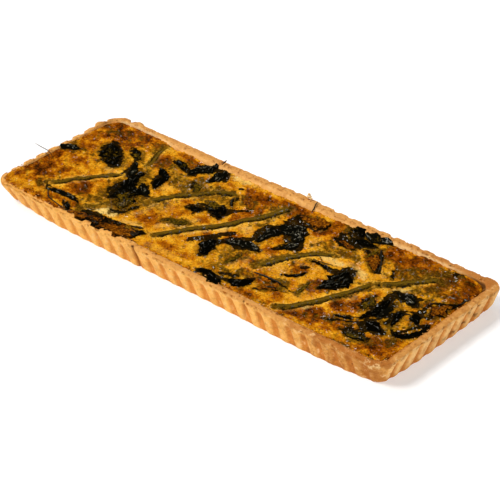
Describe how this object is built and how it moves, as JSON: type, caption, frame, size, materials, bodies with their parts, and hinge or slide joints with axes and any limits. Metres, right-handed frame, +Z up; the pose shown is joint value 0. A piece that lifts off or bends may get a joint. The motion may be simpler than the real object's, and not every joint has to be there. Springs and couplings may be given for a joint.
{
  "type": "spinach quiche",
  "caption": "Long rectangular fluted pastry tart filled with browned egg custard, spinach stalks and dark wilted leaves set in its top.",
  "frame": {"origin": "middle of the flat underside of the pastry case", "axes": "+X along the long side, +Y along the short side, +Z up out of the filling"},
  "size_m": [0.36, 0.13, 0.0249],
  "materials": {
    "crust": "baked shortcrust, golden tan, dry and slightly flaky, darker in the flutes",
    "custard": "baked egg custard, golden yellow with browned patches and dark specks, soft oily sheen",
    "stalk": "cooked spinach stalk, olive brown, moist",
    "leaf": "roasted spinach leaf, near-black green, crinkled and glossy, brown where the custard covers it"
  },
  "bodies": {
    "root": {"crust": "crust", "custard": "custard", "stalk_1": "stalk", "stalk_2_foot": "stalk", "stalk_2": "stalk", "stalk_3": "stalk", "stalk_4": "stalk", "stalk_5": "stalk", "stalk_6": "stalk", "stalk_7": "stalk", "leaf_01": "leaf", "leaf_02": "leaf", "leaf_03": "leaf", "leaf_04": "leaf", "leaf_05": "leaf", "leaf_06": "leaf", "leaf_07": "leaf", "leaf_08": "leaf", "leaf_09": "leaf", "leaf_10": "leaf", "leaf_11": "leaf", "leaf_12": "leaf", "leaf_13": "leaf", "leaf_14": "leaf", "leaf_15": "leaf", "leaf_16": "leaf", "leaf_17": "leaf", "leaf_18": "leaf", "leaf_19": "leaf", "leaf_20": "leaf", "leaf_21": "leaf", "leaf_22": "leaf", "leaf_23": "leaf", "leaf_24": "leaf", "leaf_25": "leaf", "leaf_26": "leaf", "leaf_27": "leaf", "leaf_28": "leaf", "leaf_29": "leaf", "leaf_30": "leaf", "leaf_31": "leaf", "leaf_32": "leaf", "leaf_33": "leaf", "leaf_34": "leaf", "leaf_35": "leaf", "leaf_36": "leaf", "leaf_37": "leaf", "leaf_38": "leaf", "leaf_39": "leaf", "leaf_40": "leaf", "leaf_41": "leaf", "leaf_42": "leaf", "leaf_43": "leaf", "leaf_44": "leaf", "leaf_45": "leaf", "leaf_46": "leaf", "leaf_47": "leaf", "leaf_48": "leaf"}
  },
  "joints": []
}
